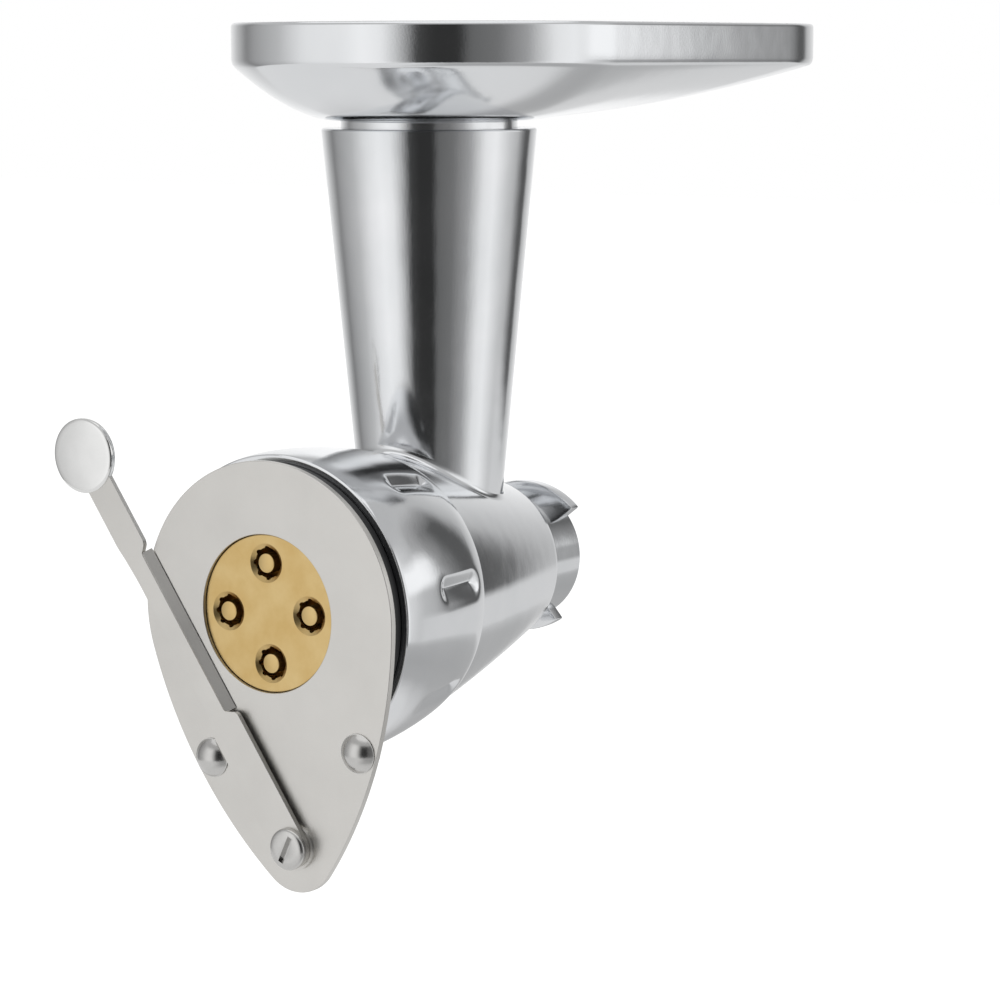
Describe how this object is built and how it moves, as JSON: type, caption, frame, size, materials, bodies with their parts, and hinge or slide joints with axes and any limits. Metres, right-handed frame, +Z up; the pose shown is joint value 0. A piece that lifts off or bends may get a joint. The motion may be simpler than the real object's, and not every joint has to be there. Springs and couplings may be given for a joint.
{
  "type": "pasta press",
  "caption": "Pasta press for a stand mixer: feed tube with tray, barrel with screw, brass die held by a ring nut, and a cutter plate with a swinging lever.",
  "frame": {"origin": "on the barrel axis at the shoulder that meets the mixer, where the spigot begins", "axes": "+Y along the barrel axis out of the spigot into the mixer, so the die faces -Y; +Z up along the feed tube"},
  "size_m": [0.1327, 0.2454, 0.2365],
  "materials": {
    "cast_aluminium": "polished casting",
    "tray_aluminium": "polished sheet",
    "screw_aluminium": "fine cast",
    "satin_stainless": "satin",
    "polished_steel": "polished",
    "die_brass": "fine turned",
    "bronze": "turned",
    "white_plastic": "moulded",
    "black_plastic": "moulded"
  },
  "bodies": {
    "press_body": {"body": "cast_aluminium", "key_pin": "polished_steel", "rear_bush": "white_plastic", "thrust_washer": "bronze"},
    "tray": {"hopper_tray": "tray_aluminium"},
    "screw": {"pasta_screw": "screw_aluminium", "nose_pin": "polished_steel", "drive_shaft": "polished_steel", "screw_pin": "polished_steel", "drive_coupling": "white_plastic", "coupling_pin": "polished_steel"},
    "die": {"die": "die_brass", "die_inserts": "die_brass", "die_mandrels": "die_brass"},
    "ring_nut": {"ring_nut": "cast_aluminium"},
    "cutter": {"clip_ring": "black_plastic", "cutter_plate": "satin_stainless", "stop_studs": "polished_steel", "rivet_burrs": "polished_steel", "pivot_bush": "polished_steel", "spring_washer": "satin_stainless", "pivot_screw": "polished_steel", "pivot_nut": "polished_steel"},
    "lever": {"cutter_lever": "satin_stainless", "lever_knob": "polished_steel"}
  },
  "joints": [
    {"name": "tray_lift", "type": "slide", "parent": "press_body", "child": "tray", "axis": [0, 0, 1], "range_m": [0, 0.025]},
    {"name": "screw_spin", "type": "hinge", "parent": "press_body", "child": "screw", "pos_m": [0, 0, 0], "axis": [0, 1, 0], "continuous": true},
    {"name": "die_slide", "type": "slide", "parent": "press_body", "child": "die", "axis": [0, -1, 0], "range_m": [0, 0.008]},
    {"name": "nut_turn", "type": "hinge", "parent": "die", "child": "ring_nut", "pos_m": [0, -0.08, 0], "axis": [0, -1, 0], "range_deg": [0, 720]},
    {"name": "cutter_swivel", "type": "hinge", "parent": "ring_nut", "child": "cutter", "pos_m": [0, -0.1077, 0], "axis": [0, -1, 0], "continuous": true},
    {"name": "lever_swing", "type": "hinge", "parent": "cutter", "child": "lever", "pos_m": [0.00919, -0.1133, -0.06374], "axis": [0, -1, 0], "range_deg": [-52.8, 0]}
  ],
  "couplings": [
    {"joint": "die_slide", "follows": "nut_turn", "m_per_rad": 0.00063662}
  ]
}
